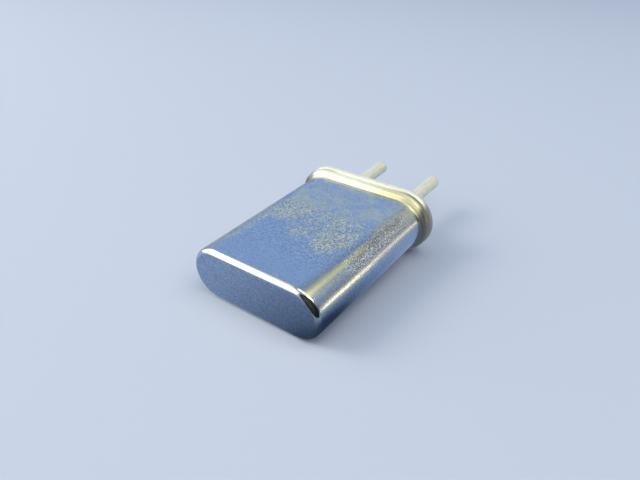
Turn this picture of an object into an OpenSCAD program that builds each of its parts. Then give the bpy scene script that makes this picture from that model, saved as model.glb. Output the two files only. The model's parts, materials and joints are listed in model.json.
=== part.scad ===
// Quartz crystal unit in a plug-in metal holder, lying on one of its broad faces.
// Every piece is drawn upright, as it stands on a board: the seating face is at z = 0,
// the contact pins point down, the width runs along x and the thickness along y.
// lay_down() then puts the whole holder on its side, closed end towards -y, pins towards +y.
// All sizes are in millimetres.

/* [Holder] */
// Height from the seating face to the closed end
holder_h = 13.46; // [12.5:0.02:16]
// Width of the cover, over its two half-round sides
body_w = 10.2; // [9.8:0.05:12]
// Thickness of the cover, over its two broad faces
body_t = 3.8; // [3.4:0.05:4.6]

/* [Cover] */
// Thickness of the drawn sheet
wall = 0.2; // [0.12:0.01:0.26]
// Outside radius of the bend round the closed end
crown_r = 0.4; // [0.3:0.02:0.7]
// Height of the bell, from the base's rim to where the side starts to flare
bell_h = 0.75; // [0.7:0.01:1.2]
// How far the bell steps out from the body
bell_out = 0.4; // [0.34:0.01:0.5]
// Radius of the hollow bend where the flare starts
throat_r = 0.12; // [0.06:0.01:0.14]
// Steepest slope of the flare
flare_angle = 68; // [60:1:80]
// Outside radius of the bend on the bell's shoulder
shoulder_r = 0.3; // [0.27:0.01:0.34]
// Slope at which the bell's skirt still opens below the shoulder
skirt_angle = 6; // [2:1:8]
// Outside radius of the lip, which turns in to the weld
lip_r = 0.28; // [0.27:0.01:0.32]
// Angle at which the lip turns in
lip_angle = 50; // [40:1:60]
// Straight edge of the lip, between its bend and the weld
lip_edge = 0.02; // [0.01:0.005:0.05]

/* [Base] */
// Thickness of the base's rim
rim_t = 0.62; // [0.53:0.01:0.8]
// How far the rim stands out past the bell
rim_proud = 0.025; // [0.02:0.005:0.1]
// Radius on both edges of the rim
rim_edge_r = 0.26; // [0.15:0.01:0.3]
// Height of the plug that stands up inside the cover
plug_h = 0.9; // [0.6:0.02:1.2]
// Clearance between the plug and the inside of the cover
plug_gap = 0.06; // [0.03:0.01:0.15]
// Radius on the plug's upper edge
plug_edge_r = 0.15; // [0.05:0.01:0.3]

/* [Pins] */
// Diameter of each contact pin
pin_d = 1; // [0.8:0.02:1.1]
// Length of each pin below the seating face
pin_len = 6.3; // [4:0.1:8]
// Distance between the two pins
pin_pitch = 4.88; // [4.4:0.02:5.2]
// Radius on the tip of each pin
tip_r = 0.36; // [0.1:0.02:0.38]
// Diameter of the stem that passes through the glass
stem_d = 0.6; // [0.4:0.02:0.64]
// Height of each stem above the base, inside the cover
post_h = 1.4; // [1.2:0.05:1.6]
// Depth of the flat pressed on each stem for its clip
post_flat = 0.1; // [0.05:0.01:0.15]

/* [Glass seals] */
// Diameter of each glass bead, and of its hole in the base
seal_d = 1.8; // [1.4:0.05:2.2]
// Depth of the hollow that the glass wets to
seal_dip = 0.05; // [0.02:0.01:0.06]

/* [Quartz] */
// Diameter of the quartz blank
blank_d = 8; // [7.4:0.05:8.3]
// Thickness of the quartz blank
blank_t = 0.21; // [0.12:0.01:0.4]
// Bevel round the blank's two edges
blank_bevel = 0.04; // [0.01:0.01:0.05]
// Gap between the blank and the base
blank_lift = 1.9; // [1.6:0.05:2.2]
// Diameter of the electrode on each face
electrode_d = 4.6; // [3:0.1:5.6]
// Thickness of the electrode film
electrode_t = 0.02; // [0.01:0.005:0.03]
// Width of the strip that leads the electrode to the blank's edge
tab_w = 1; // [0.6:0.05:1.4]

/* [Clips] */
// Thickness of the clip's ribbon
clip_t = 0.12; // [0.08:0.01:0.16]
// Width of the clip's ribbon
clip_w = 1.5; // [1.2:0.05:1.8]
// Inside radius of the clip's two bends
clip_r = 0.3; // [0.15:0.05:0.5]
// Slope of the clip's slanted run
clip_angle = 40; // [35:1:50]
// Gap between the base and the clip's foot
foot_gap = 0.25; // [0.15:0.05:0.4]
// Length of the clip's foot, which is welded to the stem
foot_h = 1; // [0.6:0.05:1]
// Depth of the blank's edge in the clip's slot
clip_grip = 0.15; // [0.13:0.01:0.2]
// Clearance between the slot and each face of the blank
slot_gap = 0.05; // [0.04:0.01:0.08]
// Clearance between each end of the slot and the blank's edge
slot_end_gap = 0.12; // [0.05:0.01:0.2]
// Length of the clip beyond its slot
clip_end = 0.4; // [0.3:0.05:0.6]
// Radius of each dab of conductive cement
dab_r = 0.5; // [0.4:0.02:0.55]

/* [Hidden] */
$fn = 96;
left = -1;
right = 1;
front = 1;
back = -1;
// How far a cutter runs past what it cuts
past = 1;

// Cover: the distance between the centres of its half-round sides, and its inside radius
side_span = body_w - body_t;
body_r = body_t / 2;
bore_r = body_r - wall;

// Bell: its flare and skirt share the step out and the height that the bends leave
bend_out = throat_r * (1 - cos(flare_angle)) + shoulder_r * (cos(skirt_angle) - cos(flare_angle));
bend_down = throat_r * sin(flare_angle) + shoulder_r * (sin(flare_angle) - sin(skirt_angle));
lip_down = lip_r * (sin(lip_angle) + sin(skirt_angle)) + lip_edge * cos(lip_angle);
run_out = bell_out - bend_out;
run_down = bell_h - lip_down - bend_down;
run_turn = sin(flare_angle - skirt_angle);
flare_run = (run_out * cos(skirt_angle) - run_down * sin(skirt_angle)) / run_turn;
skirt_run = (run_down * sin(flare_angle) - run_out * cos(flare_angle)) / run_turn;

// Lip: its sheet runs on inward, and is then cut off level with the rim
lip_run = 2 * wall;

// Base: the rim follows the bell's outline, and the plug the inside of the cover
rim_r = body_r + bell_out + rim_proud;
plug_r = bore_r - plug_gap;
base_h = rim_t + plug_h;

// Quartz: the blank stands on edge over the base, between the two clips
blank_z = base_h + blank_lift + blank_d / 2;

// Clips: the foot lies on the stem's flat, and the leaf stands beside the blank
foot_x = pin_pitch / 2 + stem_d / 2 - post_flat;
leaf_x = blank_d / 2 - clip_grip;
slant_out = leaf_x - foot_x - (2 * clip_r + clip_t) * (1 - cos(clip_angle));
slant_run = slant_out / sin(clip_angle);
foot_z = base_h + foot_gap;
leaf_z = foot_z + foot_h + (2 * clip_r + clip_t) * sin(clip_angle) + slant_run * cos(clip_angle);
slot_w = blank_t + 2 * slot_gap;
slot_l = 2 * (sqrt(pow(blank_d / 2, 2) - pow(leaf_x, 2)) + slot_end_gap);
leaf_run = blank_z + slot_l / 2 + clip_end - leaf_z;

// Rest: the holder leans on its closed end's lower bend and on the rim's inner edge
rest_drop = (rim_r - rim_edge_r) - (body_r - crown_r);
rest_run = (holder_h - crown_r) - (rim_t - rim_edge_r);
rest_gap = sqrt(pow(rest_drop, 2) + pow(rest_run, 2));
rest_tilt = atan2(rest_drop, rest_run) + asin((rim_edge_r - crown_r) / rest_gap);
low_z = -(body_r - crown_r) * cos(rest_tilt) - (holder_h - crown_r) * sin(rest_tilt) - crown_r;
crown_y = -(body_r - crown_r) * sin(rest_tilt) - (holder_h - crown_r) * cos(rest_tilt) - crown_r;
tip_y = (pin_d / 2 - tip_r) * sin(rest_tilt) + (pin_len - tip_r) * cos(rest_tilt) + tip_r;

// Lays an upright piece on its broad side, with the origin under the middle of the whole
module lay_down() {
  translate([0, -(crown_y + tip_y) / 2, -low_z])
    rotate([90 + rest_tilt, 0, 0])
      children();
}

// Sweeps a half section, drawn at x >= 0 with y up, round a plan with two half-round sides
module oblong(span) {
  for (side = [left, right]) {
    translate([side * span / 2, 0, 0])
      rotate([0, 0, -90 * side])
        rotate_extrude(angle = 180)
          children();
    rotate([0, 0, 90 * side - 90])
      rotate([90, 0, 90])
        linear_extrude(height = span, center = true)
          children();
  }
}

// Slice of a flat ring between two angles
module ring_slice(inner_r, outer_r, from, to) {
  reach = 2 * outer_r;
  intersection() {
    difference() {
      circle(r = outer_r);
      circle(r = inner_r);
    }
    polygon([
      [0, 0],
      [reach * cos(from), reach * sin(from)],
      [reach * cos(to), reach * sin(to)]
    ]);
  }
}

// Section of bent sheet: each stretch starts at the origin, lies between x = 0 and x = t,
// runs along +y, and carries the next stretch at its far end
module straight(t, run) {
  square([t, run]);
  translate([0, run])
    children();
}

module bend_to_plus_x(t, inner_r, angle) {
  translate([t + inner_r, 0]) {
    ring_slice(inner_r, inner_r + t, 180 - angle, 180);
    rotate(-angle)
      translate([-t - inner_r, 0])
        children();
  }
}

module bend_to_minus_x(t, inner_r, angle) {
  translate([-inner_r, 0]) {
    ring_slice(inner_r, inner_r + t, 0, angle);
    rotate(angle)
      translate([inner_r, 0])
        children();
  }
}

// Half section of a plate or bar whose outer edge is rounded below and above
module plate_section(width, height, low_r, high_r) {
  intersection() {
    square([width, height]);
    union() {
      square([width - max(low_r, high_r), height]);
      translate([0, low_r])
        square([width, height - low_r - high_r]);
      if (low_r > 0)
        translate([width - low_r, low_r])
          circle(r = low_r);
      if (high_r > 0)
        translate([width - high_r, height - high_r])
          circle(r = high_r);
    }
  }
}

// Half section of the drawn sheet, from the middle of the closed end to the lip
module cover_section() {
  difference() {
    translate([0, holder_h])
      rotate(-90)
        straight(wall, body_r - crown_r)
          bend_to_plus_x(wall, crown_r - wall, 90)
            straight(wall, holder_h - crown_r - rim_t - bell_h)
              bend_to_minus_x(wall, throat_r, flare_angle)
                straight(wall, flare_run)
                  bend_to_plus_x(wall, shoulder_r - wall, flare_angle - skirt_angle)
                    straight(wall, skirt_run)
                      bend_to_plus_x(wall, lip_r - wall, lip_angle + skirt_angle)
                        straight(wall, lip_run);
    translate([0, rim_t - past])
      square([body_w, past]);
  }
}

module cover() {
  color([0.74, 0.75, 0.74])
    lay_down()
      oblong(side_span)
        cover_section();
}

// Stamped plate: a rim as wide as the bell, and a plug that stands up inside the cover
module base() {
  color([0.8, 0.78, 0.68])
    lay_down()
      difference() {
        oblong(side_span) {
          plate_section(rim_r, rim_t, rim_edge_r, rim_edge_r);
          plate_section(plug_r, base_h, 0, plug_edge_r);
        }
        for (side = [left, right])
          translate([side * pin_pitch / 2, 0, -past])
            cylinder(d = seal_d, h = base_h + 2 * past);
      }
}

// Hollow that the glass wets to, between two radii, on a face at height y
module meniscus(from_r, to_r, y, up) {
  half = (to_r - from_r) / 2;
  hollow_r = (pow(half, 2) + pow(seal_dip, 2)) / (2 * seal_dip);
  translate([from_r + half, y + up * (hollow_r - seal_dip)])
    circle(r = hollow_r);
}

module glass_seal(side) {
  color([0.35, 0.5, 0.45])
    lay_down()
      translate([side * pin_pitch / 2, 0, 0])
        rotate_extrude()
          difference() {
            translate([stem_d / 2, 0])
              square([(seal_d - stem_d) / 2, base_h]);
            meniscus(pin_d / 2, seal_d / 2, 0, -1);
            meniscus(stem_d / 2, seal_d / 2, base_h, 1);
          }
}

// Contact pin below the glass, and the thinner stem that passes up through it
module pin(side) {
  color([0.82, 0.79, 0.72])
    lay_down()
      translate([side * pin_pitch / 2, 0, 0])
        difference() {
          rotate_extrude() {
            translate([0, -pin_len])
              plate_section(pin_d / 2, pin_len, tip_r, 0);
            square([stem_d / 2, base_h + post_h]);
          }
          translate([side * (stem_d / 2 - post_flat), -stem_d, base_h + foot_gap / 2])
            mirror([side == left ? 1 : 0, 0, 0])
              cube([stem_d, 2 * stem_d, post_h]);
        }
}

// Bent ribbon, welded by its foot to the stem, with a slot for the blank's edge
module clip_body(side) {
  mirror([side == left ? 1 : 0, 0, 0])
    difference() {
      translate([foot_x, clip_w / 2, foot_z])
        rotate([90, 0, 0])
          linear_extrude(height = clip_w)
            straight(clip_t, foot_h)
              bend_to_plus_x(clip_t, clip_r, clip_angle)
                straight(clip_t, slant_run)
                  bend_to_minus_x(clip_t, clip_r, clip_angle)
                    straight(clip_t, leaf_run);
      translate([leaf_x - clip_t, -slot_w / 2, blank_z - slot_l / 2])
        cube([3 * clip_t, slot_w, slot_l]);
    }
}

module clip(side) {
  color([0.78, 0.76, 0.7])
    lay_down()
      clip_body(side);
}

// Round quartz plate with bevelled edges, standing upright across the holder
module blank_body() {
  translate([0, 0, blank_z])
    rotate([90, 0, 0])
      rotate_extrude()
        polygon([
          [0, -blank_t / 2],
          [blank_d / 2 - blank_bevel, -blank_t / 2],
          [blank_d / 2, blank_bevel - blank_t / 2],
          [blank_d / 2, blank_t / 2 - blank_bevel],
          [blank_d / 2 - blank_bevel, blank_t / 2],
          [0, blank_t / 2]
        ]);
}

module quartz_blank() {
  color([0.85, 0.9, 0.92, 0.5])
    lay_down()
      blank_body();
}

// Metal film on one face of the blank, with a strip that leads to one clip
module electrode_body(face, side) {
  translate([0, face * (blank_t + electrode_t) / 2 + electrode_t / 2, blank_z])
    rotate([90, 0, 0])
      linear_extrude(height = electrode_t) {
        circle(d = electrode_d);
        intersection() {
          circle(r = blank_d / 2 - blank_bevel);
          translate([side == left ? -blank_d / 2 : 0, -tab_w / 2])
            square([blank_d / 2, tab_w]);
        }
      }
}

module electrode(face, side) {
  color([0.86, 0.86, 0.84])
    lay_down()
      electrode_body(face, side);
}

// Round dab that fixes the blank's edge and the film's strip in the clip's slot
module cement(face, side) {
  color([0.5, 0.5, 0.48])
    lay_down()
      difference() {
        translate([side * leaf_x, 0, blank_z])
          sphere(r = dab_r);
        blank_body();
        electrode_body(face, side);
        clip_body(side);
      }
}

cover();
base();
glass_seal(left);  // glass_seal_left
glass_seal(right);  // glass_seal_right
pin(left);  // pin_left
pin(right);  // pin_right
clip(left);  // clip_left
clip(right);  // clip_right
quartz_blank();
electrode(front, left);  // electrode_front
electrode(back, right);  // electrode_back
cement(front, left);  // cement_left
cement(back, right);  // cement_right
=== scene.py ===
import json
import math

import bpy
from mathutils import Matrix, Vector


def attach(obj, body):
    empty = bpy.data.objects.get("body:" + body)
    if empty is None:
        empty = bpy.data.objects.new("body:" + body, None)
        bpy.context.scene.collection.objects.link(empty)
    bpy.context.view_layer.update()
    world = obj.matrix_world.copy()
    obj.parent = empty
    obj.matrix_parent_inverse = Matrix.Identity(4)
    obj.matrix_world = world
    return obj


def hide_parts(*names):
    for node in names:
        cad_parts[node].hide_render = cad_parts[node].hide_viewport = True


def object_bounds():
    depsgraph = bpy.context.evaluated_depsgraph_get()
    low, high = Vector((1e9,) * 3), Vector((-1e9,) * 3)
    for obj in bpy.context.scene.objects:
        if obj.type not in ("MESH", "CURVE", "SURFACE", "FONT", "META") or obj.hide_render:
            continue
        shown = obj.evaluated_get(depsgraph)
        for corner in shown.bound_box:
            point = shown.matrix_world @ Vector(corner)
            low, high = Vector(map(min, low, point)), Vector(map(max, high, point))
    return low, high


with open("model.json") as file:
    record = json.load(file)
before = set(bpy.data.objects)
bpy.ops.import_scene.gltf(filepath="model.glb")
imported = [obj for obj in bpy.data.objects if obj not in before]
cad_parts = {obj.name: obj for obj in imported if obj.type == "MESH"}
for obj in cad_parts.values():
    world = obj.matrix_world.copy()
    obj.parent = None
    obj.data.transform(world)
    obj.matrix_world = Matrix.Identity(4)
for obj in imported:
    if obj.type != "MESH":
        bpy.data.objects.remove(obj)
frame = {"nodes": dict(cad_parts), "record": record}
cad_low, cad_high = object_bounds()


# ---- Base -------------------------------------------------------------------------------------
# Stamped plate of nickel-plated steel. Its rim closes the cover's bell and is welded to the
# bell's lip all round. Its plug stands up inside the cover and holds the two glass-sealed pins.

mm = 0.001
right, left = 1, -1
body_w = 10.2 * mm
body_t = 3.8 * mm
side_span = body_w - body_t
wall = 0.2 * mm
bell_out = 0.4 * mm
rim_t = 0.62 * mm
rim_proud = 0.025 * mm
rim_r = body_t / 2 + bell_out + rim_proud
rim_edge_r = 0.26 * mm
plug_h = 0.9 * mm
plug_gap = 0.06 * mm
plug_r = body_t / 2 - wall - plug_gap
plug_edge_r = 0.15 * mm
base_h = rim_t + plug_h
seal_d = 1.8 * mm
pin_pitch = 4.88 * mm
same_place = 0.001 * mm
sharp_from = math.radians(32)

# The holder is modelled upright, seating face at z = 0 and pins down, and then laid on its side
# where the CAD holder lies: the seating face gives its place and the way that the pins point.
mounts = {mount["name"]: mount for mount in frame["record"]["mounts"]}
seat_place = Vector(mounts["seating_face"]["pos_m"])
pins_way = Vector(mounts["seating_face"]["axis"]).normalized()
across = Vector((1, 0, 0))
upward = pins_way.cross(-across)
lying = Matrix.Translation(seat_place) @ Matrix((across, upward, -pins_way)).transposed().to_4x4()


def draw_section(name, moves, start=(0, 0), turned_at=0):
    """Draws half a section as a chain of points, out from the middle plane. Each move is
    (length, steps) for a straight run, or (radius, degrees, steps) for a bend, and a bend of
    no radius is a sharp corner."""
    bpy.ops.object.select_all(action="DESELECT")
    bpy.ops.mesh.primitive_plane_add(size=wall)
    piece = bpy.context.object
    piece.name = name
    out, up = start
    heading = 0.0
    bpy.ops.object.mode_set(mode="EDIT")
    bpy.ops.mesh.merge(type="CENTER")
    bpy.ops.transform.translate(value=(turned_at, -out, up))
    for move in moves:
        if len(move) == 2:
            length, steps = move
            step = Vector((0, -math.cos(heading), math.sin(heading))) * length / steps
            for _ in range(steps):
                bpy.ops.mesh.extrude_region_move(TRANSFORM_OT_translate={"value": step})
            out += length * math.cos(heading)
            up += length * math.sin(heading)
        else:
            radius, degrees, steps = move
            turn = math.radians(degrees)
            side = math.copysign(radius, degrees)
            centre_out = out - side * math.sin(heading)
            centre_up = up + side * math.cos(heading)
            if radius:
                bpy.ops.mesh.spin(steps=steps, angle=turn, axis=(1, 0, 0),
                                  center=(turned_at, -centre_out, centre_up))
            heading += turn
            out = centre_out + side * math.sin(heading)
            up = centre_up - side * math.cos(heading)
    return piece


def sweep_oblong(round_steps, flat_steps):
    """Takes the drawn section round two half-round sides and along the two flats between them."""
    bpy.ops.mesh.select_all(action="SELECT")
    for side in (right, left):
        bpy.ops.mesh.spin(steps=round_steps, angle=-math.pi, axis=(0, 0, 1),
                          center=(side * side_span / 2, 0, 0))
        for _ in range(flat_steps):
            step = (-side * side_span / flat_steps, 0, 0)
            bpy.ops.mesh.extrude_region_move(TRANSFORM_OT_translate={"value": step})
    close_mesh()


def close_mesh():
    """Merges the points that meet, and turns every face outwards."""
    bpy.ops.mesh.select_all(action="SELECT")
    bpy.ops.mesh.remove_doubles(threshold=same_place)
    bpy.ops.mesh.normals_make_consistent(inside=False)
    bpy.ops.object.mode_set(mode="OBJECT")


def only(piece):
    """Makes one piece the only selected and the active one."""
    bpy.ops.object.select_all(action="DESELECT")
    piece.select_set(True)
    bpy.context.view_layer.objects.active = piece


def modify(piece, kind, **settings):
    """Adds a modifier to a piece, sets it and applies it."""
    only(piece)
    modifier = piece.modifiers.new(kind.title(), kind)
    for setting, value in settings.items():
        setattr(modifier, setting, value)
    bpy.ops.object.modifier_apply(modifier=modifier.name)


def finish_piece(piece, slot, *nodes):
    """Smooths the bends, lays the piece down and fixes its place in its mesh."""
    only(piece)
    bpy.ops.object.shade_smooth_by_angle(angle=sharp_from)
    modify(piece, "WEIGHTED_NORMAL", keep_sharp=True, weight=80)
    piece.matrix_world = lying
    bpy.ops.object.transform_apply(location=True, rotation=True, scale=False)
    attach(piece, "root")
    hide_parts(*nodes)


class Finish:
    """A material in the making. A call adds a node or two and gives back what comes out."""

    def __init__(self, name, **constants):
        self.material = bpy.data.materials.new(name)
        self.material.use_nodes = True
        self.nodes = self.material.node_tree.nodes
        self.links = self.material.node_tree.links
        self.shader = self.nodes["Principled BSDF"]
        for socket, value in constants.items():
            self.shader.inputs[socket.replace("_", " ")].default_value = value

    def add(self, kind, inputs=(), output=0, **settings):
        """A node of one kind, whose inputs are linked to outputs or set to values."""
        node = self.nodes.new("ShaderNode" + kind)
        for setting, value in settings.items():
            setattr(node, setting, value)
        for socket, value in dict(inputs).items():
            if isinstance(value, bpy.types.NodeSocket):
                self.links.new(value, node.inputs[socket])
            else:
                node.inputs[socket].default_value = value
        return node.outputs[output]

    def upright(self, stretch=(1, 1, 1), turn=0.0):
        """Place on the upright holder in millimetres, stretched or turned for streaks."""
        back = lying.inverted()
        place = self.add("Mapping", {
            "Vector": self.add("TexCoord", output="Object"),
            "Location": back.translation / mm,
            "Rotation": back.to_euler(),
            "Scale": (1 / mm,) * 3})
        if stretch == (1, 1, 1) and not turn:
            return place
        return self.add("Mapping", {"Vector": place, "Rotation": (0, turn, 0), "Scale": stretch})

    def facing(self):
        """The way that the surface faces, on the upright holder."""
        return self.add("Mapping", {
            "Vector": self.add("NewGeometry", output="Normal"),
            "Rotation": lying.inverted().to_euler()}, vector_type="VECTOR")

    def part(self, vector, axis):
        """How far a place or a direction goes along one axis."""
        return self.add("SeparateXYZ", {"Vector": vector}, output=axis)

    def noise(self, vector, scale, detail=3.0, roughness=0.55, warp=0.0):
        """Cloudy pattern, from 0 to 1."""
        return self.add("TexNoise", {
            "Vector": vector, "Scale": scale, "Detail": detail,
            "Roughness": roughness, "Distortion": warp})

    def step(self, value, low, high, to_low=0.0, to_high=1.0):
        """Soft step from one level to another as a value goes from low to high."""
        return self.add("MapRange", {
            "Value": value, "From Min": low, "From Max": high,
            "To Min": to_low, "To Max": to_high}, interpolation_type="SMOOTHSTEP")

    def joined(self, operation, *values):
        """Some values, joined in their order by one operation."""
        result = values[0]
        for value in values[1:]:
            result = self.add("Math", {0: result, 1: value}, operation=operation)
        return result

    def times(self, *values):
        return self.joined("MULTIPLY", *values)

    def plus(self, *values):
        return self.joined("ADD", *values)

    def most(self, *values):
        return self.joined("MAXIMUM", *values)

    def unsigned(self, value):
        return self.add("Math", {0: value}, operation="ABSOLUTE")

    def mix(self, share, a, b):
        """Colour that goes from a to b as its share goes from 0 to 1."""
        colours = [colour if isinstance(colour, bpy.types.NodeSocket) else (*colour, 1)
                   for colour in (a, b)]
        return self.add("Mix", {0: share, 6: colours[0], 7: colours[1]}, output=2,
                        data_type="RGBA")

    def bump(self, height, depth, before=None):
        """Relief of a given depth, laid over the relief before it."""
        inputs = {"Height": height, "Distance": depth, "Strength": 1.0}
        if before is not None:
            inputs["Normal"] = before
        return self.add("Bump", inputs)

    def plug_in(self, **sockets):
        """Links outputs to the shader's own sockets."""
        for socket, value in sockets.items():
            self.links.new(value, self.shader.inputs[socket.replace("_", " ")])


# The half section runs out along the seating face, round the rim, in along its top, up the plug
# and back to the middle.
base = draw_section("base_plate", [
    (rim_r - rim_edge_r, 6), (rim_edge_r, 90, 6), (rim_t - 2 * rim_edge_r, 1),
    (rim_edge_r, 90, 6), (rim_r - rim_edge_r - plug_r, 2), (0, -90, 1),
    (plug_h - plug_edge_r, 2), (plug_edge_r, 90, 5), (plug_r - plug_edge_r, 4)],
    turned_at=side_span / 2)
sweep_oblong(round_steps=48, flat_steps=48)

# Two holes take the glass seals.
for side in (left, right):
    bpy.ops.object.select_all(action="DESELECT")
    bpy.ops.mesh.primitive_cylinder_add(vertices=64, radius=seal_d / 2, depth=3 * base_h,
                                        location=(side * pin_pitch / 2, 0, base_h / 2))
    cutter = bpy.context.object
    modify(base, "BOOLEAN", operation="DIFFERENCE", object=cutter, solver="EXACT")
    bpy.data.objects.remove(cutter)
bpy.ops.object.mode_set(mode="EDIT")
close_mesh()

pale_gold = (0.91, 0.87, 0.67)
dull_gold = (0.80, 0.75, 0.50)
# A brown that stands for heat tint and painted shade alike.
heat_brown_and_shade = (0.36, 0.33, 0.26)
nickel = (0.66, 0.65, 0.61)
stained_nickel = (0.60, 0.58, 0.52)

# The weld's heat has left the rim a frosted pale gold. Its two ends are painted brown, partly
# heat tint and partly painted shade where they turn from the light, and its top along the seam
# near them is painted darker as painted shade in the groove. The seating face and the plug keep
# their satin nickel, faintly stained.
plate = Finish("base_nickel", Roughness=0.42)
where = plate.upright()
height = plate.part(where, "Z")
from_middle = plate.unsigned(plate.part(where, "X"))
stain = plate.step(plate.noise(where, 1.3, 5, 0.7, 0.8), 0.40, 0.68)
# Painted shade: the rim's top along the seam's groove near the ends, and the two ends, which are
# partly heat brown.
seam_shade = plate.times(plate.step(height, 0.50, 0.58), plate.step(from_middle, 1.6, 3.8))
browned_and_shaded = plate.most(plate.step(from_middle, 4.6, 5.1), seam_shade)
unheated = plate.most(plate.step(plate.part(plate.facing(), "Z"), -0.55, -0.85),
                      plate.step(height, 0.63, 0.68))
weld = plate.mix(browned_and_shaded, plate.mix(stain, pale_gold, dull_gold), heat_brown_and_shade)
satin = plate.mix(stain, nickel, stained_nickel)
ripple = plate.bump(plate.noise(where, 1.6, 2), 0.02 * mm)
plate.plug_in(
    Base_Color=plate.mix(unheated, weld, satin),
    Metallic=plate.step(unheated, 0, 1, 0.42, 0.95),
    Normal=plate.bump(plate.noise(where, 14, 3), 0.003 * mm, ripple))
base.data.materials.append(plate.material)
finish_piece(base, "base_metal", "base")


# ---- Pins -------------------------------------------------------------------------------------
# Tinned nickel-iron wire. The contact below the seating face is stout with a rounded tip, and
# a thinner stem runs up through the glass, with a flat on its outer side for the clip.

pin_d = 1 * mm
pin_len = 6.3 * mm
tip_r = 0.36 * mm
stem_d = 0.6 * mm
stem_above = 1.4 * mm
stem_top = base_h + stem_above
flat_in = 0.1 * mm
flat_above = 0.125 * mm
flat_from = base_h + flat_above
pale_tin = (0.94, 0.88, 0.66)
dull_tin = (0.73, 0.67, 0.48)

# The tin is clouded, and finely lined along the wire from drawing.
tin = Finish("tinned_wire", Metallic=0.5)
cloud = tin.noise(tin.upright((2.4, 2.4, 1.1)), 1.4, 4, 0.7)
drawn = tin.bump(tin.noise(tin.upright((16, 16, 0.8)), 1.0, 2), 0.003 * mm)
tin.plug_in(
    Base_Color=tin.mix(tin.step(cloud, 0.25, 0.8), pale_tin, dull_tin),
    Roughness=tin.step(cloud, 0.25, 0.8, 0.44, 0.56),
    Normal=tin.bump(tin.noise(tin.upright(), 12, 3), 0.003 * mm, drawn))


def spin_round(at):
    """Turns the drawn half section once round the upright axis at one place across."""
    bpy.ops.mesh.select_all(action="SELECT")
    bpy.ops.mesh.spin(steps=48, angle=2 * math.pi, axis=(0, 0, 1), center=(at, 0, 0))
    close_mesh()


def turn_round(piece, name):
    """Copies a left-hand piece to the right: half a turn brings the holder back to itself."""
    only(piece)
    bpy.ops.object.duplicate()
    copy = bpy.context.object
    copy.name = name
    bpy.ops.transform.rotate(value=math.pi, orient_axis="Z", center_override=(0, 0, 0))
    bpy.ops.object.transform_apply(location=True, rotation=True, scale=False)
    return copy


# The half section runs out round the tip, up the contact, in over its shoulder, up the stem
# and in over its end.
pin_left = draw_section("left_pin", [
    (pin_d / 2 - tip_r, 2), (tip_r, 90, 10), (pin_len - tip_r, 12), (0, 90, 1),
    ((pin_d - stem_d) / 2, 1), (0, -90, 1), (stem_top, 4), (0, 90, 1), (stem_d / 2, 2)],
    start=(0, -pin_len), turned_at=-pin_pitch / 2)
spin_round(-pin_pitch / 2)

# A block cuts the flat.
bpy.ops.object.select_all(action="DESELECT")
bpy.ops.mesh.primitive_cube_add(
    size=2 * stem_d, scale=(1, 1, 2),
    location=(-pin_pitch / 2 - stem_d / 2 + flat_in - stem_d, 0, flat_from + 2 * stem_d))
cutter = bpy.context.object
modify(pin_left, "BOOLEAN", operation="DIFFERENCE", object=cutter, solver="EXACT")
bpy.data.objects.remove(cutter)
pin_left.data.materials.append(tin.material)
pin_right = turn_round(pin_left, "right_pin")
finish_piece(pin_left, "pin_metal", "pin_left")
finish_piece(pin_right, "pin_metal", "pin_right")


# ---- Glass seals ------------------------------------------------------------------------------
# Beads of fused glass that hold the pins in the base, keep them apart from the metal and seal
# the holder. Molten glass wets both walls, so each face is a shallow hollow ring.

seal_dip = 0.05 * mm
dark_glass = (0.03, 0.07, 0.06)
pale_glass = (0.08, 0.15, 0.13)

glass = Finish("fused_glass", Roughness=0.08, IOR=1.52, Transmission_Weight=0.35)
glass.plug_in(Base_Color=glass.mix(glass.noise(glass.upright(), 5, 3), dark_glass, pale_glass))


def hollow(from_r, to_r):
    """Bend of a meniscus that dips between two radii, as (radius, degrees)."""
    half = (to_r - from_r) / 2
    radius = (half ** 2 + seal_dip ** 2) / (2 * seal_dip)
    return radius, 2 * math.degrees(math.asin(half / radius))


low_r, low_turn = hollow(pin_d / 2, seal_d / 2)
high_r, high_turn = hollow(stem_d / 2, seal_d / 2)

# The half section runs from the stem out over the contact's shoulder, along the lower hollow,
# up the wall of the hole, in along the upper hollow and down the stem.
seal_left = draw_section("left_glass_seal", [
    ((pin_d - stem_d) / 2, 1),
    (0, low_turn / 2, 1), (low_r, -low_turn, 8), (0, low_turn / 2 + 90, 1), (base_h, 2),
    (0, 90 + high_turn / 2, 1), (high_r, -high_turn, 10),
    (0, 90 + high_turn / 2, 1), (base_h, 2)],
    start=(stem_d / 2, 0), turned_at=-pin_pitch / 2)
spin_round(-pin_pitch / 2)
seal_left.data.materials.append(glass.material)
seal_right = turn_round(seal_left, "right_glass_seal")
finish_piece(seal_left, "seal_glass", "glass_seal_left")
finish_piece(seal_right, "seal_glass", "glass_seal_right")


# ---- Clips ------------------------------------------------------------------------------------
# Bent ribbons of spring nickel. Each is welded by its foot to the flat of a stem and holds the
# edge of the quartz in its slot.

bright_nickel = (0.72, 0.70, 0.64)
dull_nickel = (0.62, 0.59, 0.52)

spring = Finish("spring_ribbon", Metallic=1.0, Roughness=0.25)
spring.plug_in(
    Base_Color=spring.mix(spring.noise(spring.upright(), 3, 3), bright_nickel, dull_nickel),
    Normal=spring.bump(spring.noise(spring.upright((1, 20, 20)), 1.0, 2), 0.003 * mm))


def refinish(finish, *nodes):
    """Gives CAD nodes, whose shape is right, a better material."""
    for node in nodes:
        frame["nodes"][node].data.materials.clear()
        frame["nodes"][node].data.materials.append(finish.material)


refinish(spring, "clip_left", "clip_right")


# ---- Quartz -----------------------------------------------------------------------------------
# Thin round plate of quartz with bevelled edges, lapped to its frequency. It stands upright
# across the holder, held by its edge alone in the slots of the two clips.

clear_quartz = (0.92, 0.95, 0.96)
hazy_quartz = (0.84, 0.89, 0.90)

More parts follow.
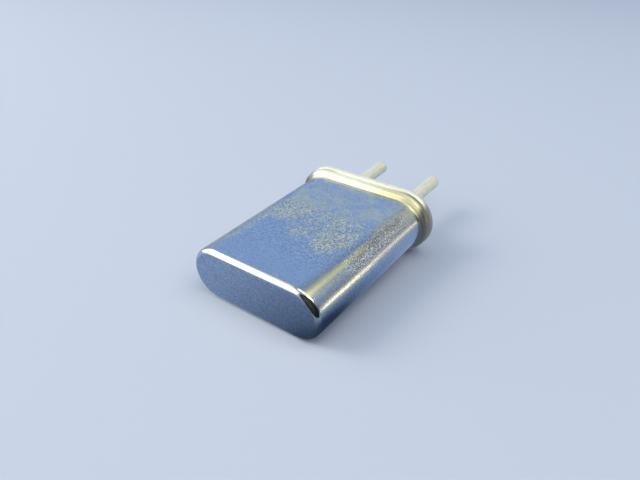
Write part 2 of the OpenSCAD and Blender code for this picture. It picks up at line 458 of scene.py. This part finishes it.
quartz = Finish("lapped_quartz", Roughness=0.12, IOR=1.54, Transmission_Weight=0.9)
quartz.plug_in(
    Base_Color=quartz.mix(quartz.noise(quartz.upright(), 2, 2), clear_quartz, hazy_quartz),
    Normal=quartz.bump(quartz.noise(quartz.upright(), 60, 2), 0.001 * mm))
refinish(quartz, "quartz_blank")


# ---- Electrodes -------------------------------------------------------------------------------
# Silver films evaporated on the two faces of the quartz through a mask. A strip leads each
# film to one clip.

bright_silver = (0.93, 0.93, 0.90)
dull_silver = (0.84, 0.83, 0.78)

silver = Finish("evaporated_silver", Metallic=1.0, Roughness=0.18)
silver.plug_in(
    Base_Color=silver.mix(silver.noise(silver.upright(), 4, 3), bright_silver, dull_silver))
refinish(silver, "electrode_front", "electrode_back")


# ---- Cement -----------------------------------------------------------------------------------
# Cured dabs of silver-filled cement. They fix the quartz in the clips' slots and join the
# films to the clips.

dark_paste = (0.42, 0.42, 0.40)
pale_paste = (0.60, 0.60, 0.57)

paste = Finish("silver_cement", Metallic=0.35, Roughness=0.65)
paste.plug_in(
    Base_Color=paste.mix(paste.noise(paste.upright(), 18, 3), dark_paste, pale_paste),
    Normal=paste.bump(paste.noise(paste.upright(), 22, 3), 0.02 * mm))
refinish(paste, "cement_left", "cement_right")


# ---- Cover ------------------------------------------------------------------------------------
# Deep-drawn can of nickel-silver sheet. Its mouth is flared into a bell, whose lip turns in and
# is welded to the base's rim. The crown's bend is burnished bright, with a painted highlight over
# it, and the rest is satin tinted blue as a painted reflection, with smudges and pits from
# handling.

holder_h = 13.46 * mm
crown_r = 0.4 * mm
bell_h = 0.75 * mm
throat_r = 0.12 * mm
flare = math.radians(68)
shoulder_r = 0.3 * mm
skirt = math.radians(6)
lip_r = 0.28 * mm
lip = math.radians(50)
lip_edge = 0.02 * mm

# The bell's flare and skirt share what its bends leave of its step and its height.
bend_out = throat_r * (1 - math.cos(flare)) + shoulder_r * (math.cos(skirt) - math.cos(flare))
bend_down = throat_r * math.sin(flare) + shoulder_r * (math.sin(flare) - math.sin(skirt))
lip_down = lip_r * (math.sin(skirt) + math.sin(lip)) + lip_edge * math.cos(lip)
run_out = bell_out - bend_out
run_down = bell_h - lip_down - bend_down
run_turn = math.sin(flare - skirt)
flare_run = (run_out * math.cos(skirt) - run_down * math.sin(skirt)) / run_turn
skirt_run = (run_down * math.sin(flare) - run_out * math.cos(flare)) / run_turn

# The half section runs out along the closed end, round the crown, down the side, out over the
# throat and the flare, round the shoulder, down the skirt, in along the lip and a little past it.
cover = draw_section("drawn_cover", [
    (body_t / 2 - crown_r, 4), (crown_r, -90, 12),
    (holder_h - crown_r - rim_t - bell_h, 26),
    (throat_r, math.degrees(flare), 8), (flare_run, 2),
    (shoulder_r, math.degrees(skirt - flare), 12), (skirt_run, 1),
    (lip_r, -math.degrees(lip + skirt), 10), (2 * wall, 1)],
    start=(0, holder_h), turned_at=side_span / 2)
sweep_oblong(round_steps=40, flat_steps=24)
modify(cover, "SOLIDIFY", thickness=wall, offset=-1, use_even_offset=True)

# The lip is cut off level with the rim that it is welded to, and its cut edge is closed.
bpy.ops.object.mode_set(mode="EDIT")
bpy.ops.mesh.select_all(action="SELECT")
bpy.ops.mesh.bisect(plane_co=(0, 0, rim_t), plane_no=(0, 0, 1), clear_inner=True)
bpy.ops.mesh.bridge_edge_loops()
bpy.ops.object.mode_set(mode="OBJECT")

# A pair is two colours that the metal shows side by side, in a mottle, in flecks or in specks,
# or that the bell goes through from one side to the other.
# The satin colours carry a blue cast that is a painted reflection of blue surroundings.
satin = (0.41, 0.45, 0.49), (0.545, 0.595, 0.645)
worn_satin = (0.33, 0.37, 0.405), (0.605, 0.655, 0.705)
end_satin = (0.375, 0.415, 0.45), (0.575, 0.62, 0.665)
thin_film = (0.69, 0.64, 0.43)
flecked_film = (0.38, 0.345, 0.23), (0.97, 0.86, 0.53)
# The pits by the flat are a painted shaded copy of those by the side, whose pale specks are
# partly painted glints.
shaded_pits_by_flat = (0.18, 0.185, 0.19), (0.62, 0.60, 0.56)
pits_and_glints_by_side = (0.33, 0.335, 0.335), (0.93, 0.90, 0.80)
straw = (0.72, 0.66, 0.34)
# Painted highlight: the burnished colour is brightened to stand for the bend's highlight.
burnished_highlight = (0.80, 0.76, 0.64)
bell_gold = (0.93, 0.90, 0.64), (0.74, 0.68, 0.38)
# A brown that stands for heat tint and painted shade alike.
bell_brown_and_shade = (0.24, 0.21, 0.15)

sheet = Finish("drawn_nickel", Metallic=1.0)
where = sheet.upright()
height = sheet.part(where, "Z")
sideways = sheet.part(where, "X")
from_middle = sheet.unsigned(sideways)
facing = sheet.facing()
to_end = sheet.part(facing, "Z")
to_side = sheet.unsigned(sheet.part(facing, "X"))

# The crown's bend is painted brighter in a band all round where its highlight falls: partly
# burnish, partly painted highlight. The bell, which the weld's heat has left pale gold, is paler
# to the left and deeper gold to the right. Its two ends are painted brown, partly heat tint and
# partly painted shade where they turn from the light, and it is painted darker underneath and
# along the seam's groove near the ends: painted shade.
# Painted highlight over the bend's band, partly burnish.
burnish_and_highlight = sheet.times(sheet.step(to_end, 0.12, 0.38), sheet.step(to_end, 0.985, 0.93),
                    sheet.step(height, 12.6, 13.0))
bell = sheet.step(height, 1.38, 1.30)
# Painted shade in the groove by the seam near the ends.
seam_shade = sheet.times(sheet.step(height, 0.86, 0.74), sheet.step(from_middle, 1.6, 3.8))
ends = sheet.most(sheet.step(from_middle, 4.6, 5.0), sheet.step(sideways, -4.1, -4.7, 0.0, 0.8))
# Painted shade underneath, and at the ends partly painted shade, partly heat brown.
browned_and_shaded = sheet.most(sheet.step(sheet.part(where, "Y"), 0.4, -0.8), sheet.most(ends, seam_shade))


def smudge(x, z, half_width, half_length, strength=1.0):
    """Soft oval on the upright cover, in millimetres."""
    away = sheet.add("VectorMath", {0: where, 1: (x, 0, z)}, operation="SUBTRACT")
    away = sheet.add("VectorMath", {0: away, 1: (1 / half_width, 0, 1 / half_length)},
                     operation="MULTIPLY")
    reach = sheet.add("VectorMath", {0: away}, output="Value", operation="LENGTH")
    return sheet.step(reach, 1.0, 0.55, 0.0, strength)


# Fingers have left smudges of a thin straw-coloured film in fine strokes, most of it toward the
# bell. It thins out on the half-round sides.
smudges = sheet.most(
    smudge(2.2, 7.2, 1.9, 3.6), smudge(2.6, 3.9, 1.1, 1.4), smudge(-2.3, 6.1, 2.0, 2.6),
    smudge(-4.0, 9.0, 1.3, 5.2, 0.9), smudge(0.0, 8.0, 1.7, 1.7, 0.75),
    smudge(4.3, 3.0, 1.8, 3.9), smudge(0.0, 3.2, 6.0, 5.0, 0.75))
wiped = sheet.upright((1.0, 1.0, 1.8), 0.7)
strokes = sheet.noise(wiped, 5.0, 4, 0.75, 0.5)
cloud = sheet.step(sheet.noise(where, 0.8, 3, 0.6, 0.6), 0.3, 0.7, -0.05, 0.05)
thickness = sheet.plus(strokes, sheet.plus(cloud, sheet.times(smudges, 0.22)))
filmed = sheet.times(sheet.step(thickness, 0.60, 0.75),
                     sheet.step(to_side, 0.86, 0.70, 0.15, 0.85))

# Handling has pitted the half-round sides beside the flats, around their mid height. Nearer the
# crown a straw-coloured line runs along there, and widens towards the crown.
pitted = sheet.times(sheet.step(to_side, 0.36, 0.50), sheet.step(to_side, 0.86, 0.79),
                     sheet.step(height, 10.0, 8.4), sheet.step(height, 2.2, 3.6))
widened = sheet.plus(to_side, sheet.step(height, 8.8, 12.4, 0.0, 0.12))
line = sheet.times(sheet.step(widened, 0.38, 0.50), sheet.step(to_side, 0.60, 0.54),
                   sheet.step(height, 6.3, 7.8))

# The satin's mottle is strongest where it is worn most, from mid height towards the crown.
worn = sheet.times(sheet.step(height, 12.4, 9.8), sheet.step(height, 4.0, 6.6))
mottle = sheet.step(sheet.noise(wiped, 7.0, 4, 0.8), 0.36, 0.64)
flecks = sheet.step(sheet.noise(wiped, 7.0, 3, 0.7, 0.6), 0.42, 0.58)
specks = sheet.step(sheet.noise(where, 10.0, 2, 0.7, 0.8), 0.44, 0.58)
end_face = sheet.step(to_end, 0.90, 0.97)

# The finishes are laid over each other, from the bare flats to the bell.
film = sheet.mix(worn, thin_film, sheet.mix(flecks, *flecked_film))
# Painted shade: the pits are darker where the side turns up towards the flat.
pits = sheet.mix(sheet.step(to_side, 0.60, 0.72), sheet.mix(specks, *shaded_pits_by_flat),
                 sheet.mix(specks, *pits_and_glints_by_side))
gold = sheet.mix(sheet.step(sideways, -0.5, 3.0), *bell_gold)
colour = sheet.mix(worn, sheet.mix(mottle, *satin), sheet.mix(mottle, *worn_satin))
colour = sheet.mix(filmed, colour, film)
colour = sheet.mix(sheet.times(pitted, 0.85), colour, pits)
colour = sheet.mix(end_face, colour, sheet.mix(mottle, *end_satin))
colour = sheet.mix(sheet.times(line, 0.72), colour, straw)
colour = sheet.mix(burnish_and_highlight, colour, burnished_highlight)
colour = sheet.mix(bell, colour, sheet.mix(browned_and_shaded, gold, bell_brown_and_shade))

# The bell is frosted, most of all towards its lip. The sheet is faintly wavy with a fine grain,
# and where it is pitted the dark pits lie deeper than the pale metal between them.
rough = sheet.plus(sheet.times(pitted, specks, 0.12), sheet.times(bell, 0.10),
                   sheet.step(burnish_and_highlight, 0, 1, 0.24, 0.15))
frosted = sheet.step(height, 1.12, 0.97, 0.16, 0.58)
matt = sheet.most(sheet.times(filmed, flecks, 0.25), sheet.times(bell, frosted))
waves = sheet.bump(sheet.noise(where, 0.35, 2), 0.02 * mm)
grain = sheet.bump(sheet.noise(where, 19, 3, 0.6), 0.0012 * mm, waves)
sheet.plug_in(
    Base_Color=colour,
    Roughness=rough,
    Metallic=sheet.joined("SUBTRACT", 1.0, matt),
    Normal=sheet.bump(sheet.times(pitted, specks), 0.02 * mm, grain))
cover.data.materials.append(sheet.material)
finish_piece(cover, "cover_metal", "cover")


# ---- Floor, lights and camera -----------------------------------------------------------------
# Pale matt table under a pale dome, lit by soft lamps. The metal also mirrors further lamps and
# strips, two black cards and a glowing blue card with a painted shadow, none of which lights or
# shades the table.

middle = (cad_low + cad_high) / 2
lamps_away = 0.3

bpy.ops.object.select_all(action="DESELECT")
bpy.ops.mesh.primitive_circle_add(vertices=96, radius=0.6, fill_type="NGON")
floor = bpy.context.object
floor.name = "floor"
table = Finish("pale_table", Base_Color=(0.50, 0.54, 0.60, 1), Roughness=0.9,
               Specular_IOR_Level=0.0)
floor.data.materials.append(table.material)


def toward(azimuth, elevation):
    """Direction from the object, with azimuth counted from +X towards +Y, in degrees."""
    turn, rise = math.radians(azimuth), math.radians(elevation)
    return Vector((math.cos(rise) * math.cos(turn), math.cos(rise) * math.sin(turn),
                   math.sin(rise)))


def softbox(name, azimuth, elevation, size, radiance, colour, use="both", distance=lamps_away):
    """Soft lamp of a given width, height and radiance that faces the object. It lights matt
    surfaces, is mirrored by glossy ones, or does both; the camera doesn't see it."""
    back = toward(azimuth, elevation)
    width, height = size
    bpy.ops.object.light_add(type="AREA", location=middle + back * distance,
                             rotation=back.to_track_quat("Z", "Y").to_euler())
    lamp = bpy.context.object
    lamp.name = name
    lamp.data.shape = "RECTANGLE"
    lamp.data.size = width
    lamp.data.size_y = height
    lamp.data.energy = radiance * math.pi * width * height
    lamp.data.color = colour
    lamp.visible_camera = False
    lamp.visible_diffuse = use != "mirrored"
    lamp.visible_glossy = use != "matt"


# The lamps that light the table. The metal mirrors the first and the last of them too.
softbox("key", -144, 28, (0.46, 0.34), 1.5, (1.0, 0.95, 0.86))
softbox("shadow", -150, 38, (0.12, 0.12), 7.5, (1.0, 0.97, 0.92), "matt")
softbox("overhead", 10, 62, (0.20, 0.20), 2.6, (1.0, 0.95, 0.88), "matt")
softbox("top", 0, 89, (0.16, 0.16), 1.3, (1.0, 0.97, 0.92))

# The lamps that only the metal mirrors. The last two are strips, close to the right side.
softbox("back", 128, 31, (0.36, 0.24), 0.41, (0.25, 0.48, 1.0), "mirrored")
softbox("front", -66, 22, (0.24, 0.22), 1.2, (1.0, 0.94, 0.76), "mirrored")
softbox("left", 176, 52, (0.12, 0.10), 0.6, (1.0, 0.95, 0.80), "mirrored")
softbox("corner", 45, 60, (0.14, 0.13), 1.0, (1.0, 0.98, 0.70), "mirrored")
softbox("spot", 23, 44, (0.05, 0.05), 9.0, (1.0, 0.96, 0.86), "mirrored")
softbox("high", 0, 57, (0.13, 0.11), 3.4, (0.98, 1.0, 1.0), "mirrored")
softbox("side", 60, 27, (0.16, 0.18), 0.26, (1.0, 0.82, 0.30), "mirrored")
softbox("strip", 44, 0.6, (0.045, 0.0085), 2.6, (1.0, 0.70, 0.28), "mirrored", distance=0.1)
softbox("near_strip", 26, -2.2, (0.009, 0.0028), 6.0, (1.0, 0.84, 0.28), "mirrored",
        distance=0.038)

black = Finish("black_card", Base_Color=(0.01, 0.01, 0.01, 1), Roughness=1.0)


def flag(name, near, azimuth, elevation, distance, size):
    """Black card of a given width and height that only the metal mirrors: it neither shows
    nor shades."""
    back = toward(azimuth, elevation)
    bpy.ops.object.select_all(action="DESELECT")
    bpy.ops.mesh.primitive_plane_add(size=1, location=near + back * distance,
                                     rotation=back.to_track_quat("Z", "Y").to_euler())
    card = bpy.context.object
    card.name = name
    bpy.ops.transform.resize(value=(*size, 1), orient_type="LOCAL")
    bpy.ops.object.transform_apply(location=False, rotation=False, scale=True)
    card.data.materials.append(black.material)
    card.visible_camera = False
    card.visible_diffuse = False
    card.visible_shadow = False


# One black card darkens the right side, and a small one the right end of the crown's bend.
crown_corner = Vector((4.6, -9.75, 3.30)) * mm
flag("side_flag", middle, -8, 9, 0.16, (0.22, 0.07))
flag("corner_flag", crown_corner, -53, 15, 0.7 * mm, (3.7 * mm, 2.9 * mm))

# A blue card, which is only mirrored too, lies on the table and glows though it is no lamp. It is
# painted darkest by the cover's right corner and paler away from it, as a painted shadow of the
# cover.
painted_shadow_blue = (0.028, 0.050, 0.108)
shadow_fade_blue = (0.016, 0.036, 0.093)
pale_blue = (0.335, 0.464, 0.73)
bpy.ops.object.select_all(action="DESELECT")
bpy.ops.mesh.primitive_plane_add(size=0.5, location=(5.5 * mm, -8.5 * mm, 0.02 * mm))
blue_card = bpy.context.object
blue_card.name = "graded_card"
graded = Finish("glowing_blue_painted_shadow", Base_Color=(0, 0, 0, 1), Roughness=1.0, Specular_IOR_Level=0.0,
                Emission_Strength=1.0)
reach = graded.add("VectorMath", {0: graded.add("TexCoord", output="Object")}, output="Value",
                   operation="LENGTH")
# Painted shadow: dark by the corner, fading out to the pale blue glow.
fade_to_pale = graded.mix(graded.step(reach, -2 * mm, 13 * mm), shadow_fade_blue, pale_blue)
graded.plug_in(
    Emission_Color=graded.mix(graded.step(reach, 1.4 * mm, 4.2 * mm), painted_shadow_blue, fade_to_pale))
blue_card.data.materials.append(graded.material)
blue_card.visible_camera = False
blue_card.visible_diffuse = False
blue_card.visible_transmission = False
blue_card.visible_shadow = False

dome = bpy.data.worlds.new("dome")
bpy.context.scene.world = dome
dome.use_nodes = True
sky = dome.node_tree.nodes["Background"]
sky.inputs["Color"].default_value = (0.28, 0.37, 0.54, 1)
sky.inputs["Strength"].default_value = 1.0

eye = Vector((19.19, -29.00, 22.63)) * mm
aim = Vector((-2.11, 0.10, 0)) * mm
bpy.ops.object.camera_add(location=eye, rotation=(aim - eye).to_track_quat("-Z", "Y").to_euler())
camera = bpy.context.object
camera.data.sensor_width = 36
camera.data.lens = 31.05
camera.data.clip_start = 1 * mm
camera.data.clip_end = 10
bpy.context.scene.camera = camera
bpy.context.scene.view_settings.view_transform = "Standard"
